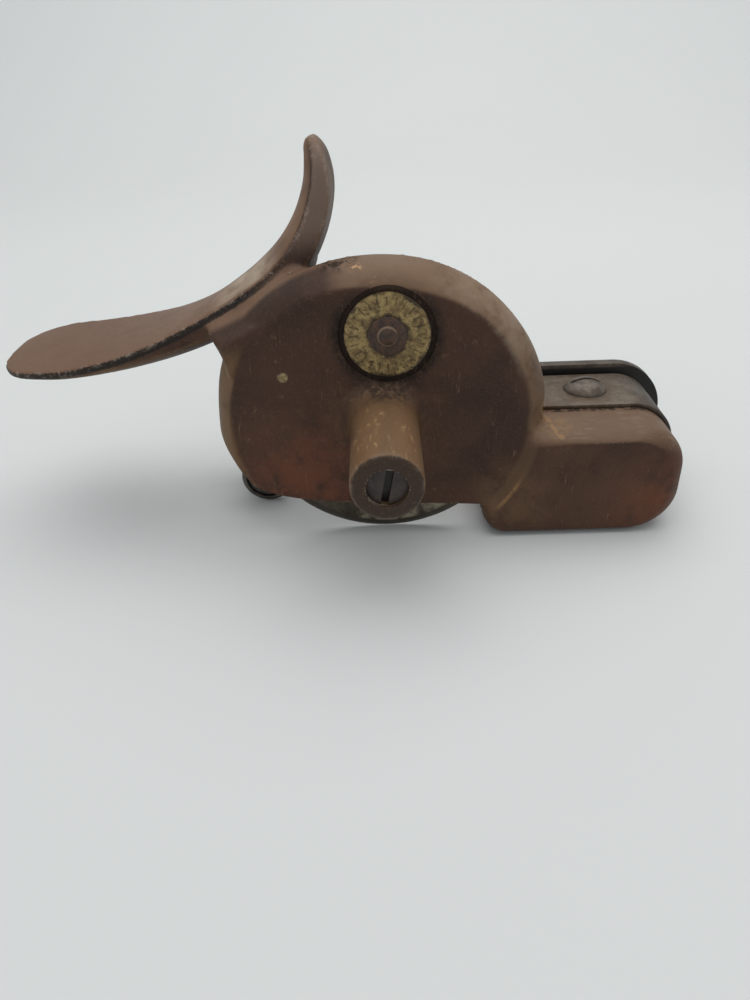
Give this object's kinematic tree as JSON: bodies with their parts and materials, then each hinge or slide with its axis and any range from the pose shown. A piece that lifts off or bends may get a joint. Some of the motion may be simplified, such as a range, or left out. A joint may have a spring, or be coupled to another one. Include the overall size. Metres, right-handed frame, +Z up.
{
  "type": "rotary wallpaper trimmer",
  "caption": "Hand-pushed rotary trimmer with a cast drum guard, spindle boss, palm saddle with horn, nose shoe, spring strap, disc knife and rear guide roller.",
  "frame": {"origin": "centre of the bounding box in X and Y, on the table under the tool", "axes": "+X towards the nose shoe, +Y away from the side with the spindle boss, +Z up"},
  "size_m": [0.2096, 0.0882, 0.1112],
  "materials": {
    "japanned_iron": "cast iron with worn brown japan and rust patina",
    "bronze": "turned bearing bronze",
    "machined_steel": "turned steel, oily",
    "ball_steel": "hardened polished ball",
    "spring_steel": "spring steel with brown patina",
    "dark_steel": "steel with dark oxide patina",
    "worn_steel": "worn bare steel with dirt in the slot",
    "knife_steel": "ground tool steel, stained, dark bevel",
    "aged_brass": "aged brass with green-black spots",
    "rusty_iron": "small rusty iron trim"
  },
  "bodies": {
    "casting": {"frame": "japanned_iron", "outer_bush": "bronze", "inner_bush": "bronze", "pressure_spring": "spring_steel", "badge_plate": "aged_brass", "badge_collar": "rusty_iron", "badge_rivet": "rusty_iron", "steady_pin": "aged_brass", "back_plate": "dark_steel", "plate_dowels": "machined_steel", "plate_screws": "dark_steel", "nose_strap": "spring_steel", "strap_screw": "worn_steel", "roller_bush": "bronze", "roller_axle": "dark_steel", "axle_washer": "worn_steel", "axle_nut": "dark_steel"},
    "carriage": {"thrust_pad": "machined_steel", "thrust_ball": "ball_steel"},
    "cutter": {"spindle": "machined_steel", "disc_knife": "knife_steel", "drive_pin": "machined_steel", "knife_washer": "dark_steel", "knife_nut": "dark_steel"},
    "seat": {"spring_seat": "machined_steel"},
    "plug": {"pressure_screw": "dark_steel"},
    "roller": {"rear_roller": "dark_steel"}
  },
  "joints": [
    {"name": "knife_float", "type": "slide", "parent": "casting", "child": "carriage", "axis": [0, 1, 0], "range_m": [0, 0.0005]},
    {"name": "knife_spin", "type": "hinge", "parent": "carriage", "child": "cutter", "pos_m": [0.0105, -0.00655, 0.0397], "axis": [0, 1, 0], "continuous": true},
    {"name": "seat_travel", "type": "slide", "parent": "casting", "child": "seat", "axis": [0, 1, 0], "range_m": [0, 0.0015], "deforming": ["pressure_spring"]},
    {"name": "screw_turn", "type": "hinge", "parent": "seat", "child": "plug", "pos_m": [0.0105, -0.04005, 0.0397], "axis": [0, 1, 0], "range_deg": [0, 720]},
    {"name": "roller_spin", "type": "hinge", "parent": "casting", "child": "roller", "pos_m": [-0.029, 0.02085, 0.0088], "axis": [0, 1, 0], "continuous": true}
  ],
  "couplings": [
    {"joint": "screw_turn", "follows": "seat_travel", "rad_per_m": 8377.5}
  ]
}
